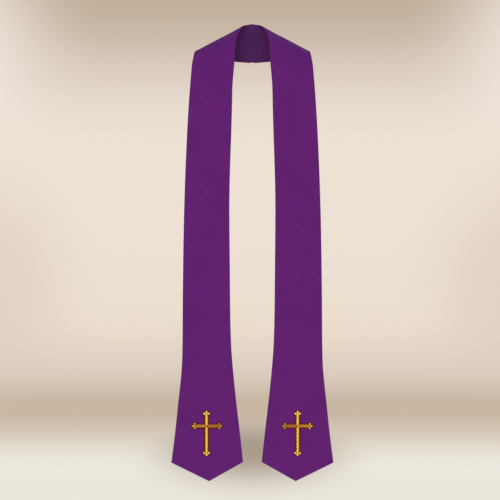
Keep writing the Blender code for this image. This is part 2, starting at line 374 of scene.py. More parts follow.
class HalfStole:
    """The outer side of one half, worked out as the left one, with the folds of the half it stands for."""

    def __init__(self, folds, cross_x):
        self.folds = folds
        self.cross_x = cross_x
        rows = np.array(BACK + SHOULDER + FRONT)
        along = distances((rows[:, :3] + rows[:, 3:]) / 2)
        mirror = np.array([-1, 1, 1, -1, 1, 1])
        beyond_seam = slice(MIRRORED_ROWS, 0, -1)
        places = np.concatenate([-along[beyond_seam], along])
        self.edges = Spline(places, np.concatenate([rows[beyond_seam] * mirror, rows]))
        self.ridge = along[len(BACK)]
        level_from = along[len(BACK) + len(SHOULDER)]
        self.hem_from = along[len(rows) - 1 - sum(row.inner_z < HEM_STARTS for row in FRONT)]
        places = np.linspace(level_from, along[-1], FRONT_SAMPLES)
        sampled = self.edges.at(places)
        end, above = sampled[-1], self.edges.at(along[-1] - 1.0)
        beyond = end + (end - above) / (end[2] - above[2]) * (BELOW_HEM - end[2])
        self.known_rows = np.concatenate([sampled, [beyond]])
        self.level_places = np.append(places, along[-1] + end[2] - BELOW_HEM)
        self.point_share = float(self.share_at(HEM_POINT_X, HEM_POINT))

    def level_rows(self, heights):
        """The two edges at these heights of the front."""
        known = self.known_rows
        return resampled(known, -known[:, 2], -np.asarray(heights))

    def along_at(self, heights):
        return np.interp(-np.asarray(heights), -self.known_rows[:, 2], self.level_places)

    def share_at(self, x, heights):
        rows = self.level_rows(heights)
        return (x - rows[..., 0]) / (rows[..., 3] - rows[..., 0])

    def hem_heights(self, shares):
        """How low the pointed hem is on the lines that lie these shares across the cloth."""
        before = shares < self.point_share
        inner_x = self.level_rows(HEM_INNER_CORNER)[0]
        outer_x = self.level_rows(HEM_OUTER_CORNER)[3]
        corner_x = np.where(before, inner_x, outer_x)
        corner = np.where(before, HEM_INNER_CORNER, HEM_OUTER_CORNER)
        heights = np.full(shares.shape, HEM_POINT)
        for _ in range(HEM_ROUNDS):
            x = across(self.level_rows(heights), shares)[..., 0]
            heights = HEM_POINT + (corner - HEM_POINT) * (x - HEM_POINT_X) / (corner_x - HEM_POINT_X)
        return heights

    def relief(self, along, shares, widths, hem_distance):
        """How far the folds and the turned-in edges raise the cloth."""
        height = np.zeros(np.shape(along))
        for fold in self.folds:
            done = np.clip((along - fold.start) / (fold.end - fold.start), 0, 1)
            shift = fold.start_share * FOLD_WANDER_SHIFT
            wander = FOLD_WANDER * np.sin(2 * pi * (along / FOLD_WANDER_LENGTH + shift))
            line = fold.start_share + (fold.end_share - fold.start_share) * done + wander
            uneven = 1 + FOLD_UNEVENNESS * np.cos(2 * pi * done + fold.start)
            fade = np.sin(pi * done) ** 2 * uneven
            height += fold.height * fade * np.exp(-(((shares - line) * widths / fold.width) ** 2))
        edge = np.minimum(np.minimum(shares, 1 - shares) * widths, hem_distance)
        inside = smooth_step(TURNING_WIDTH - TURNING_SOFTNESS, TURNING_WIDTH, edge)
        height += TURNING_HEIGHT * (1 - inside)
        return height - SEAM_PUCKER * np.exp(-((along / SEAM_PUCKER_WIDTH) ** 2))

    def grid(self):
        """Points over the half from the centre back to the hem, and where each lies in the flat cloth."""
        inner = np.linspace(0, self.point_share, COLUMNS_EACH_SIDE + 1)
        outer = np.linspace(self.point_share, 1, COLUMNS_EACH_SIDE + 1)
        shares = np.concatenate([inner, outer[1:]])
        hem = self.hem_heights(shares)
        places = np.linspace(0, self.hem_from, round(self.hem_from / ROW_STEP) + 1)[:, None]
        steps = np.linspace(0, 1, round((HEM_STARTS - HEM_POINT) / ROW_STEP) + 1)[1:, None]
        heights = HEM_STARTS + (hem - HEM_STARTS) * steps
        upper = np.repeat(self.edges.at(places), len(shares), axis=1)
        rows = np.concatenate([upper, self.level_rows(heights)])
        along = np.concatenate([np.repeat(places, len(shares), axis=1), self.along_at(heights)])
        spread = np.broadcast_to(shares, along.shape)
        points = across(rows, spread)
        widths = np.linalg.norm(rows[..., 3:] - rows[..., :3], axis=-1)
        hem_distance = np.where(points[..., 2] < HEM_STARTS, points[..., 2] - hem, HEM_STARTS - HEM_POINT)
        raised = points + outward(points) * self.relief(along, spread, widths, hem_distance)[..., None]
        notch = NOTCH_HEIGHT * np.exp(-((along / NOTCH_WIDTH) ** 2))
        notch -= NOTCH_SIDE_DROP * np.exp(-(((along - NOTCH_SIDE) / NOTCH_SIDE_WIDTH) ** 2))
        near_ridge = np.exp(-(((along - self.ridge) / SAG_REACH) ** 2))
        sag = SAG * smooth_step(SAG_FROM, SAG_TO, spread) * near_ridge
        raised[..., 0] += sag * SAG_SPREAD
        raised[..., 2] += notch * spread**NOTCH_FADE - sag
        flat = np.stack([(spread - 0.5) * widths, along], axis=-1)
        return raised, flat

    def surface(self, x, z):
        """Points on the outer side of the front, and the direction out of the cloth there."""
        x, z = np.asarray(x, float), np.asarray(z, float)

        def raised(x, z):
            rows = self.level_rows(z)
            shares = self.share_at(x, z)
            hem = self.hem_heights(np.ravel(shares)).reshape(shares.shape)
            point = across(rows, shares)
            point[..., 1] -= self.relief(self.along_at(z), shares, rows[..., 3] - rows[..., 0], z - hem)
            return point

        here = raised(x, z)
        right = raised(x + 1, z) - here
        down = raised(x, z - 1) - here
        return here, unit(np.cross(down, right))


# ---- meshes


def in_scene(name, data):
    """An object in the scene that has this mesh, lamp or camera."""
    obj = bpy.data.objects.new(name, data)
    bpy.context.scene.collection.objects.link(obj)
    return obj


def object_from(name, points, faces, material, side, uv=None):
    """An object in metres from points in millimetres of the left half, mirrored where side is -1."""
    places = np.asarray(points, float) * [side * MM, MM, MM]
    faces = faces if side > 0 else [face[::-1] for face in faces]
    mesh = bpy.data.meshes.new(name)
    mesh.from_pydata(places.tolist(), [], faces)
    if uv is not None:
        layer = mesh.uv_layers.new(name="cloth")
        corners = np.empty(len(mesh.loops), np.int32)
        mesh.loops.foreach_get("vertex_index", corners)
        layer.data.foreach_set("uv", (np.asarray(uv)[corners] * MM).ravel())
    mesh.shade_smooth()
    mesh.materials.append(material)
    return in_scene(name, mesh)


def between(ring, next_ring):
    """The faces that join two closed rings of points."""
    return list(zip(ring, next_ring, next_ring[1:] + next_ring[:1], ring[1:] + ring[:1]))


def rim_of(shape):
    """The places round the edge of a grid, in order."""
    rows, columns = shape[:2]
    rim = [(i, 0) for i in range(rows)]
    rim += [(rows - 1, j) for j in range(1, columns)]
    rim += [(i, columns - 1) for i in range(rows - 2, -1, -1)]
    rim += [(0, j) for j in range(columns - 2, 0, -1)]
    return rim


def edge_directions(points):
    """The direction past the edge, in the cloth, at each point on the edge of a grid, and none elsewhere."""
    past = np.zeros_like(points)
    for end, inside in ((0, 1), (-1, -2)):
        past[:, end] += unit(points[:, end] - points[:, inside])
        past[end] += unit(points[end] - points[inside])
    return past


def moved_along(values, before, after):
    """The same number of points, on the line that its first three values make, with its two ends moved in."""
    places = distances(values[:, :3])
    return resampled(values, places, before + places * (1 - (before + after) / places[-1]))


def drawn_in(points, flat, inset):
    """The same grid with its edges moved in, but for the seam at the centre of the back."""
    values = np.concatenate([points, flat], axis=-1)
    rows = np.stack([moved_along(row, inset, inset) for row in values])
    columns = np.stack([moved_along(rows[:, k], 0, inset) for k in range(rows.shape[1])], axis=1)
    return columns[..., :3], columns[..., 3:]


def cloth_shell(name, points, flat, start, wall, material, side):
    """A sheet of cloth behind a grid of points, with rounded edges."""
    out = outward(points)
    out[0] = unit(out[0] * [0, 1, 1])  # the halves meet in the plane of the centre back
    past = edge_directions(points)
    past[0, 1:-1] = (-1, 0, 0)
    radius = wall / 2
    front = points - out * start - past * radius
    back = front - out * wall
    rows, columns = points.shape[:2]
    count = rows * columns
    every = [front.reshape(-1, 3), back.reshape(-1, 3)]
    uv = [flat.reshape(-1, 2), flat.reshape(-1, 2)]
    rim = rim_of(points.shape)
    i, j = np.array(rim).T
    rings = [[a * columns + b for a, b in rim]]
    for k in range(1, RIM_SEGMENTS):
        turn = pi * k / RIM_SEGMENTS
        sideways, down = radius * sin(turn), radius * (1 - cos(turn))
        first = 2 * count + (k - 1) * len(rim)
        rings.append(list(range(first, first + len(rim))))
        every.append(front[i, j] + past[i, j] * sideways - out[i, j] * down)
        uv.append(flat[i, j])
    rings.append([count + a * columns + b for a, b in rim])
    faces = []
    for a in range(rows - 1):
        for b in range(columns - 1):
            p = a * columns + b
            faces.append((p, p + columns, p + columns + 1, p + 1))
            p += count
            faces.append((p, p + 1, p + columns + 1, p + columns))
    for ring, next_ring in zip(rings, rings[1:]):
        faces += between(ring, next_ring)
    return object_from(name, np.concatenate(every), faces, material, side, np.concatenate(uv))


# ---- node helpers


class Nodes:
    """Adds nodes to a tree, each with its settings and what its inputs are set or linked to."""

    def __init__(self, tree):
        self.tree = tree

    def node(self, kind, inputs=(), **settings):
        node = self.tree.nodes.new(kind)
        for name, value in settings.items():
            setattr(node, name, value)
        for socket, value in dict(inputs).items():
            if isinstance(value, bpy.types.NodeSocket):
                self.tree.links.new(value, node.inputs[socket])
            else:
                node.inputs[socket].default_value = value
        return node

    def add(self, kind, inputs=(), output=0, **settings):
        """One output of a new node."""
        return self.node(kind, inputs, **settings).outputs[output]

    def maths(self, operation, *values):
        return self.add("ShaderNodeMath", dict(enumerate(values)), operation=operation)

    def plus(self, first, second):
        return self.maths("ADD", first, second)

    def times(self, first, second):
        return self.maths("MULTIPLY", first, second)

    def times_plus(self, first, second, third):
        return self.maths("MULTIPLY_ADD", first, second, third)

    def vector(self, operation, *values, output="Vector"):
        return self.add("ShaderNodeVectorMath", dict(enumerate(values)), output, operation=operation)

    def noise(self, place, scale, output="Fac", detail=NOISE_DETAIL):
        return self.add("ShaderNodeTexNoise", {"Vector": place, "Scale": scale, "Detail": detail}, output)

    def mix(self, share, first, second):
        """A mix of two colours, on the sockets that this node keeps for colours."""
        return self.add("ShaderNodeMix", {0: share, 6: first, 7: second}, 2, data_type="RGBA")

    def finish(self, shader, tone, colours, height, strength, depth):
        """Links a shader's colour, from shade to light, and its bump."""
        colour = self.mix(tone, as_light(colours.shade), as_light(colours.light))
        self.tree.links.new(colour, shader.inputs["Base Color"])
        bump = {"Strength": strength, "Distance": depth * MM, "Height": height}
        self.tree.links.new(self.add("ShaderNodeBump", bump), shader.inputs["Normal"])


STITCH_SIZES = (
    "Thread", "Pitch", "Slant", "Slant jitter", "Width jitter", "Twist pitch", "Twist depth", "End shade"
)


def stitch_tree():
    """Lays arched threads side by side along each path, as machine embroidery does."""
    tree = bpy.data.node_groups.new("stitches along a path", "GeometryNodeTree")

    def socket(name, kind, in_out="INPUT"):
        tree.interface.new_socket(name, in_out=in_out, socket_type=f"NodeSocket{kind}")

    socket("Geometry", "Geometry")
    for size in STITCH_SIZES:
        socket(size, "Float")
    socket("Seed", "Int")
    socket("Material", "Material")
    socket("Geometry", "Geometry", "OUTPUT")
    nodes = Nodes(tree)
    given = nodes.node("NodeGroupInput").outputs

    def attribute(name, kind="FLOAT"):
        return nodes.add("GeometryNodeInputNamedAttribute", {"Name": name}, "Attribute", data_type=kind)

    def toned(geometry, tone):
        inputs = {"Geometry": geometry, "Name": "thread_tone", "Value": tone}
        return nodes.add("GeometryNodeStoreNamedAttribute", inputs, data_type="FLOAT", domain="POINT")

    def random(reach, shift):
        """A number of each stitch's own, on the sockets that this node keeps for plain numbers."""
        inputs = {2: -reach, 3: reach, "Seed": nodes.plus(given["Seed"], shift)}
        return nodes.add("FunctionNodeRandomValue", inputs, 1, data_type="FLOAT")

    path = nodes.add("GeometryNodeMeshToCurve", {"Mesh": given["Geometry"]})
    spacing = {"Curve": path, "Length": given["Pitch"]}
    spaced = nodes.add("GeometryNodeResampleCurve", spacing, mode="LENGTH")
    tangent = nodes.add("GeometryNodeInputTangent")
    axes = {"Primary Axis": attribute("out", "FLOAT_VECTOR"), "Secondary Axis": tangent}
    upright = nodes.add("FunctionNodeAxesToRotation", axes, primary_axis="Z", secondary_axis="Y")
    slant = nodes.times_plus(random(1.0, 1.0), given["Slant jitter"], given["Slant"])
    turn = nodes.add("FunctionNodeAxisAngleToRotation", {"Axis": (0, 0, 1), "Angle": slant})
    both = {"Rotation": upright, "Rotate By": turn}
    turned = nodes.add("FunctionNodeRotateRotation", both, rotation_space="LOCAL")
    length = nodes.add("GeometryNodeSplineParameter", output="Length")
    phase = nodes.times(nodes.maths("DIVIDE", length, given["Twist pitch"]), 2 * pi)
    wave = nodes.maths("SINE", phase)
    swell = nodes.times_plus(wave, given["Twist depth"], 1.0)
    unevenness = nodes.times_plus(random(1.0, 2.0), given["Width jitter"], 1.0)
    reach = nodes.maths("DIVIDE", attribute("half_width"), nodes.maths("COSINE", given["Slant"]))
    width = nodes.times(reach, unevenness)
    rise = nodes.times(attribute("rise"), swell)
    scale = nodes.add("ShaderNodeCombineXYZ", {"X": width, "Y": 1.0, "Z": rise})
    arch_shape = {"Resolution": ARCH_SEGMENTS, "Start": (-1, 0, 0), "Middle": (0, 0, 2), "End": (1, 0, 0)}
    arch = nodes.add("GeometryNodeCurveQuadraticBezier", arch_shape)
    # Painted light and shade along the twist: threads are lighter where the twist swells them up, darker
    # between.
    twist = nodes.times(wave, given["Twist depth"])
    tone = nodes.times_plus(twist, TWIST_PAINTED_LIGHT, BASE_TONE)
    tone = nodes.plus(tone, random(TONE_JITTER, 3.0))
    laying = {"Points": toned(spaced, tone), "Instance": arch, "Rotation": turned, "Scale": scale}
    laid = nodes.add("GeometryNodeInstanceOnPoints", laying)
    threads = nodes.add("GeometryNodeRealizeInstances", {"Geometry": laid})
    # Painted shade: each thread is darker towards its two ends, where it dives into the cloth, lightest
    # mid-stitch.
    along = nodes.add("GeometryNodeSplineParameter", output="Factor")
    from_middle = nodes.times_plus(along, 2.0, -1.0)
    darker = nodes.times(nodes.times(from_middle, from_middle), given["End shade"])
    shaded = toned(threads, nodes.maths("SUBTRACT", attribute("thread_tone"), darker))
    round_thread = {"Resolution": THREAD_SIDES, "Radius": given["Thread"]}
    profile = nodes.add("GeometryNodeCurvePrimitiveCircle", round_thread)
    sweep = {"Curve": shaded, "Profile Curve": profile, "Fill Caps": True}
    body = nodes.add("GeometryNodeCurveToMesh", sweep)
    smooth = nodes.add("GeometryNodeSetShadeSmooth", {"Geometry": body, "Shade Smooth": True})
    joined = nodes.add("GeometryNodeRealizeInstances", {"Geometry": smooth})
    finished = {"Geometry": joined, "Material": given["Material"]}
    nodes.node("NodeGroupOutput", {"Geometry": nodes.add("GeometryNodeSetMaterial", finished)})
    return tree


def stitches(name, paths, stitching, tree, finishes, side, closed=False):
    """Threads along paths. Each path is points, the directions out there, half widths and rises."""
    places, edges, outs, widths, rises = [], [], [], [], []
    for points, out, half_widths, rise in paths:
        first = len(places)
        places.extend(points * [side * MM, MM, MM])
        outs.extend(out * [side, 1, 1])
        widths.extend(half_widths * MM)
        rises.extend(rise * MM)
        edges.extend((k, k + 1) for k in range(first, len(places) - 1))
        if closed:
            edges.append((len(places) - 1, first))
    mesh = bpy.data.meshes.new(name)
    mesh.from_pydata([list(p) for p in places], edges, [])
    mesh.attributes.new("half_width", "FLOAT", "POINT").data.foreach_set("value", widths)
    mesh.attributes.new("rise", "FLOAT", "POINT").data.foreach_set("value", rises)
    mesh.attributes.new("out", "FLOAT_VECTOR", "POINT").data.foreach_set("vector", np.ravel(outs))
    obj = in_scene(name, mesh)
    modifier = obj.modifiers.new("stitches", "NODES")
    modifier.node_group = tree
    sizes = (
        stitching.thread * MM, stitching.pitch * MM,
        radians(stitching.slant) * side, radians(SLANT_JITTER), WIDTH_JITTER,
        stitching.twist_pitch * MM, stitching.twist_depth, stitching.end_shade,
    )
    values = dict(zip(STITCH_SIZES, sizes), Seed=stitching.seed, Material=finishes[stitching.finish])
    for socket in tree.interface.items_tree:
        if socket.in_out == "INPUT" and socket.name in values:
            modifier[socket.identifier] = values[socket.name]
    graph = bpy.context.evaluated_depsgraph_get()
    threads = bpy.data.meshes.new_from_object(obj.evaluated_get(graph))
    threads.name = name
    obj.modifiers.clear()
    obj.data = threads
    for attribute in ("half_width", "rise", "out"):
        if attribute in threads.attributes:
            threads.attributes.remove(threads.attributes[attribute])
    return obj


# ---- materials


def new_material(name, shader_inputs=()):
    material = bpy.data.materials.new(name)
    material.use_nodes = True
    shader = material.node_tree.nodes["Principled BSDF"]
    for socket, value in dict(shader_inputs).items():
        shader.inputs[socket].default_value = value
    return material, Nodes(material.node_tree), shader


def woven(name, weave):
    """Cloth of crossing threads, with slubs and soft unevenness. Its weave follows the flat cloth."""
    shine = {
        "Roughness": weave.roughness,
        "Specular IOR Level": weave.specular,
        "Sheen Weight": CLOTH_SHEEN,
        "Sheen Roughness": CLOTH_SHEEN_ROUGHNESS,
    }
    material, nodes, shader = new_material(name, shine)
    pitch = weave.pitch * MM
    flat = nodes.add("ShaderNodeUVMap", uv_map="cloth")
    placed = nodes.add("ShaderNodeTexCoord", output="Object")
    cloudy = nodes.noise(placed, CLOUD_SCALE, detail=CLOUD_DETAIL)
    drift = nodes.noise(placed, DRIFT_SCALE, "Color")
    moved = nodes.vector("MULTIPLY_ADD", drift, (pitch * DRIFT,) * 3, flat)
    parts = nodes.node("ShaderNodeSeparateXYZ", {"Vector": moved}).outputs
    warp, weft = (nodes.maths("SINE", nodes.times(parts[k], pi / pitch)) for k in (0, 1))
    over = nodes.maths("GREATER_THAN", nodes.times(warp, weft), 0.0)
    under = nodes.maths("SUBTRACT", 1.0, over)
    warp_height = nodes.times(nodes.maths("ABSOLUTE", warp), over)
    weft_height = nodes.times(nodes.maths("ABSOLUTE", weft), under)
    threads = nodes.plus(warp_height, weft_height)
    slub_heights = []
    for scales in SLUB_SCALES:
        stretched = nodes.add("ShaderNodeMapping", {"Vector": flat, "Scale": scales})
        slub_heights.append(nodes.noise(stretched, 1.0))
    slubs = nodes.times(nodes.plus(*slub_heights), 0.5)
    slub_tone = nodes.times_plus(slubs, SLUB_TONE, SLUB_BASE)
    # Painted shade: the cloth is darker in the gaps between its threads and lighter on their tops.
    tone = nodes.times_plus(threads, WEAVE_PAINTED_SHADE, slub_tone)
    tone = nodes.plus(tone, nodes.times_plus(cloudy, CLOUD_TONE, CLOUD_BASE))
    height = nodes.times_plus(slubs, SLUB_HEIGHT, threads)
    nodes.finish(shader, tone, weave, height, 1.0, weave.depth)
    return material


def thread(name, finish):
    """Embroidery thread, each stitch with its own tone, with a fine twist."""
    shine = {
        "Roughness": finish.roughness,
        "Metallic": finish.metallic,
        "Specular IOR Level": finish.specular,
    }
    material, nodes, shader = new_material(name, shine)
    tone = nodes.add("ShaderNodeAttribute", output="Fac", attribute_name="thread_tone")
    grain = nodes.noise(nodes.add("ShaderNodeTexCoord", output="Object"), GRAIN_SCALE)
    tone = nodes.plus(tone, nodes.times_plus(grain, GRAIN_TONE, -GRAIN_TONE / 2))
    nodes.finish(shader, tone, finish, grain, GRAIN_STRENGTH, GRAIN_DEPTH)
    return material


def glowing(name, colours, patches, radial):
    """The studio's glowing paint, which lights itself: a run of painted light and shade up the wall, or
    outwards over the floor.
    """
    material, nodes, shader = new_material(name)
    nodes.tree.nodes.remove(shader)
    placed = nodes.add("ShaderNodeTexCoord", output="Object")
    if radial:
        level_place = nodes.vector("MULTIPLY", placed, (1, 1, 0))
        place = nodes.vector("LENGTH", level_place, output="Value")
    else:
        place = nodes.add("ShaderNodeSeparateXYZ", {"Vector": placed}, "Z")
    low, high = colours[0][0], colours[-1][0]
    share = nodes.add("ShaderNodeMapRange", {"Value": place, "From Min": low, "From Max": high})
    ramp = nodes.node("ShaderNodeValToRGB", {0: share})
    ramp.color_ramp.interpolation = "CARDINAL"
    stops = ramp.color_ramp.elements
    for _ in colours[2:]:
        stops.new(0.5)
    for stop, (at, colour) in zip(stops, colours):
        stop.position = (at - low) / (high - low)
        stop.color = as_light(colour)
    colour = ramp.outputs[0]
    for patch in patches:
        shares = nodes.vector("DIVIDE", nodes.vector("SUBTRACT", placed, patch.middle), patch.reach)
        away = nodes.vector("LENGTH", shares, output="Value")
        fade = {"Value": away, "To Min": patch.strength, "To Max": 0.0}
        near = nodes.add("ShaderNodeMapRange", fade, interpolation_type="SMOOTHERSTEP")
        colour = nodes.mix(near, colour, as_light(patch.colour))
    glow = nodes.add("ShaderNodeEmission", {"Color": colour, "Strength": 1.0})
    clear = nodes.add("ShaderNodeBsdfTransparent")
    behind = nodes.add("ShaderNodeNewGeometry", output="Backfacing")
    seen = nodes.add("ShaderNodeMixShader", {0: behind, 1: glow, 2: clear})
    nodes.tree.links.new(seen, nodes.tree.nodes["Material Output"].inputs["Surface"])
    return material


# ---- the cross's shapes


# An arm's kind of stitching, its tip and the direction out along it, on the cross's own plane, how far from
# the crossing its satin starts, how large its buds are, and the shape of its satin.
Arm = namedtuple("Arm", "shaft tip_x tip_z out_x out_z gap bud satin")
ARMS = [
    Arm("upper", 0.0, CROSS_TOP, 0, 1, UPPER_GAP, BUD_RADIUS, UPRIGHT_SATIN),
    Arm("lower", 0.0, CROSS_BOTTOM, 0, -1, LOWER_GAP, BUD_RADIUS, UPRIGHT_SATIN),
    Arm("outer_bar", OUTER_REACH, CROSSING, 1, 0, BAR_GAP, BAR_BUD_RADIUS, BAR_SATIN),
    Arm("inner_bar", -INNER_REACH, CROSSING, -1, 0, BAR_GAP, BAR_BUD_RADIUS, BAR_SATIN),
]


def along_arm(arm, back):
    return arm.tip_x - arm.out_x * back, arm.tip_z - arm.out_z * back


def beside(arm, place, distance):
    return place[0] + distance * arm.out_z, place[1] + distance * arm.out_x


def buds(arm):
    """The middles of the three buds at the end of an arm, and of its diamond."""
    middle = along_arm(arm, BUD_BACK)
    return along_arm(arm, arm.bud), [beside(arm, middle, s * BUD_SPREAD) for s in (1, -1)], middle


def head_ends(arm, grow):
    """The inner end and the tip of an arm's diamond."""
    return along_arm(arm, HEAD_BACK + grow), along_arm(arm, HEAD_FRONT - grow)


def counterclockwise(outline):
    area = sum(a[0] * b[1] - b[0] * a[1] for a, b in zip(outline, outline[1:] + outline[:1]))
    return outline if area > 0 else outline[::-1]


def cross_outlines(grow):
    """The overlapping shapes of a budded cross, each made larger all round."""

    def box(low_x, high_x, low_z, high_z):
        return [(low_x, low_z), (high_x, low_z), (high_x, high_z), (low_x, high_z)]

    half_upright = UPRIGHT_WIDTH / 2 + grow
    half_bar = BAR_WIDTH / 2 + grow
    shapes = [
        box(-half_upright, half_upright, CROSS_BOTTOM + BUD_RADIUS, CROSS_TOP - BUD_RADIUS),
        box(BUD_RADIUS - INNER_REACH, OUTER_REACH - BUD_RADIUS, CROSSING - half_bar, CROSSING + half_bar),
    ]
    for arm in ARMS:
        end, sides, middle = buds(arm)
        reach = arm.bud + grow
        inner, tip = head_ends(arm, grow)
        corners = [beside(arm, middle, s * (HEAD_SPREAD + grow)) for s in (1, -1)]
        shapes.append([tip, corners[0], inner, corners[1]])
        for x, z in (end, *sides):
            turns = [2 * pi * (k + 0.5) / BUD_SIDES for k in range(BUD_SIDES)]
            shapes.append([(x + reach * cos(t), z + reach * sin(t)) for t in turns])
    return [counterclockwise(shape) for shape in shapes]


def ground(grow):
    """The union of the cross's outlines as flat points, triangles, and its outer edge in order."""
    points, faces = [], []
    for outline in cross_outlines(grow):
        faces.append(list(range(len(points), len(points) + len(outline))))
        points.extend(outline)
    for x in np.arange(-INNER_REACH - grow, OUTER_REACH + grow, GROUND_MESH):
        for z in np.arange(CROSS_BOTTOM - grow, CROSS_TOP + grow, GROUND_MESH):
            points.append((x, z))
    flat, _, triangles, *_ = delaunay_2d_cdt([Vector(p) for p in points], [], faces, KEEP_INSIDE, WELD)
    turns = {(t[k - 1], t[k]) for t in triangles for k in range(3)}
    rim = {a: b for a, b in turns if (b, a) not in turns}
    edge = [min(rim)]
    while rim[edge[-1]] != edge[0]:
        edge.append(rim[edge[-1]])
    return flat, triangles, edge


def line_path(half, start, end, widths_at, rise_share, lift):
    """A path on the cloth from start to end of the cross's plane, with its half width at each distance."""
    start, end = np.array(start), np.array(end)
    length = float(np.linalg.norm(end - start))
    distance = np.linspace(0, length, max(2, round(length / PATH_STEP)) + 1)
    flat = start + (end - start) * (distance / length)[:, None]
    points, out = half.surface(flat[:, 0] + half.cross_x, flat[:, 1])
    widths = np.maximum(widths_at(distance, length), LEAST_WIDTH)
    rises = np.maximum(widths * rise_share, LEAST_RISE)
    return points + out * lift, out, widths, rises


def padding_mesh(paths):
    """Low domes under the threads: a closed strip along each path, lower and narrower than its threads."""
    points, faces = [], []
    slices = np.linspace(-1, 1, PADDING_SLICES)
    for middle, out, widths, rises in paths:
        tangent = unit(np.gradient(middle, axis=0))
        sideways = unit(np.cross(out, tangent))
        first = len(points)
        for k in range(len(middle)):
            top, low = rises[k] * PADDING_HEIGHT, -PADDING_DEPTH
            for height, shares in ((top, slices), (low, slices[-2:0:-1])):
                for s in shares:
                    place = middle[k] + sideways[k] * widths[k] * s * PADDING_WIDTH
                    points.append(place + out[k] * height * (1 - s * s))
        around = 2 * len(slices) - 2
        rings = [list(range(start, start + around)) for start in range(first, len(points), around)]
        for ring, next_ring in zip(rings, rings[1:]):
            faces += between(ring, next_ring)
        faces += [tuple(rings[0]), tuple(rings[-1][::-1])]
    return points, faces


def cross_paths(half):
    """The paths of each kind of stitching in the gold of the cross."""

    def shaft(arm):
        def widths(distance, length):
            from_middle = (distance + arm.gap) / MITRE
            ends = np.minimum(from_middle, (length - distance) / arm.satin.taper + arm.satin.tip)
            return arm.satin.width / 2 * np.minimum(1, ends)

        return widths

    def diamond(distance, length):
        widest = HEAD_BACK - BUD_BACK
        return HEAD_SPREAD * np.minimum(distance / widest, (length - distance) / (length - widest))

    def bud(distance, length):
        return np.sqrt((length / 2) ** 2 * BUD_BLUNT - (distance - length / 2) ** 2)

    def edging(distance, _):
        return np.full(distance.shape, HEAD_EDGING)

    kinds = {kind: [] for kind in CROSS_STITCHES}

    def lay(kind, *path):
        kinds[kind].append(line_path(half, *path))

    for arm in ARMS:
        end, sides, middle = buds(arm)
        inner, tip = head_ends(arm, 0)
        duller = arm.shaft == "inner_bar"
        near = (arm.out_x * arm.gap, CROSSING + arm.out_z * arm.gap)
        lay(arm.shaft, near, along_arm(arm, arm.satin.stops), shaft(arm), arm.satin.rise, GOLD_LIFT)
        lay("inner_head" if duller else "heads", inner, tip, diamond, HEAD_RISE, arm.satin.head_lift)
        for s in (1, -1) if duller else ():
            lay("edging", beside(arm, middle, s * HEAD_SPREAD), tip, edging, EDGING_RISE, EDGING_LIFT)
        for x, z in (end, *sides):
            start = (x - arm.out_x * arm.bud, z - arm.out_z * arm.bud)
            finish = (x + arm.out_x * arm.bud, z + arm.out_z * arm.bud)
            lift = END_BUD_LIFT if (x, z) == end else SIDE_BUD_LIFT
            lay("dull_buds" if duller else "buds", start, finish, bud, BUD_RISE, lift)
    return kinds


def rounded(points, out):
    """The closed line through these points, evenly spaced, with rounded corners, and the directions out."""
    values = np.concatenate([points, out], axis=-1)
    values = np.concatenate([values, values[:1]])
    places = distances(values[:, :3])
    wanted = np.linspace(0, places[-1], round(places[-1] / BORDER_STEP), endpoint=False)
    even = resampled(values, places, wanted)
    shifts = range(-BORDER_REACH, BORDER_REACH + 1)
    soft = sum(np.roll(even, shift, axis=0) for shift in shifts) / len(shifts)
    return soft[:, :3], unit(soft[:, 3:])


def build_cross(half, word, side, tree, finishes):
    """One embroidered cross, as a list of its pieces."""
    flat, triangles, edge = ground(GROUND_GROW)
    x, z = np.array(flat).T
    low, out = half.surface(x + half.cross_x + GROUND_SHIFT, z)
    points = np.concatenate([low + out * GROUND_LIFT, low + out * GROUND_WALL])
    count = len(flat)
    faces = [tuple(i + count for i in t) for t in triangles]
    faces += [tuple(reversed(t)) for t in triangles]
    faces += between([a + count for a in edge], edge)
    pieces = [object_from(f"{word}_cross_ground", points, faces, finishes["maroon_thread"], side)]
    kinds = cross_paths(half)
    padded = []
    for kind, paths in kinds.items():
        if kind in PADDED_SHAFTS:
            padded += [[part[PADDING_SKIPS:-PADDING_SKIPS] for part in path] for path in paths]
        elif kind in PADDED_ENDS:
            padded += paths
    points, faces = padding_mesh(padded)
    pieces.append(object_from(f"{word}_cross_padding", points, faces, finishes["gold_padding"], side))
    border, border_out = rounded(low[edge], out[edge])
    ones = np.ones(len(border))
    points = border + border_out * BORDER_LIFT
    kinds["edge"].append((points, border_out, ones * BORDER_HALF_WIDTH, ones * BORDER_RISE))
    for kind, stitching in CROSS_STITCHES.items():
        name, closed = f"{word}_cross_{kind}", kind == "edge"
        pieces.append(stitches(name, kinds[kind], stitching, tree, finishes, side, closed))
    return pieces


def slip_stitches(word, lining, side, tree, finishes):
    """The hand stitches that hold the lining's edge to the turned-in cloth, but for the centre back."""
    out = outward(lining)
    past = edge_directions(lining)
    rim = [place for place in rim_of(lining.shape) if place[0] >= SLIP_FROM_ROW]
    i, j = np.array(rim).T
    depth = FACE_WALL + LINING_GAP + LINING_WALL * SLIP_DEPTH
    points = lining[i, j] - out[i, j] * depth + past[i, j] * SLIP_PAST
    ones = np.ones(len(points))
    path = (points, -out[i, j], ones * SLIP_HALF_WIDTH, ones * SLIP_RISE)
    return stitches(f"{word}_slip_stitches", [path], SLIP_STITCHES, tree, finishes, side)


# ---- the studio

CAMERA_PLACE = (-0.0067, -20.0, -0.634)
VIEW_WIDTH = 1.42
SENSOR_WIDTH = 36.0
FLOOR_HEIGHT = -1.60
STUDIO_RADIUS = 24.5
STUDIO_HEIGHT = 16.0
STUDIO_SIDES = 96

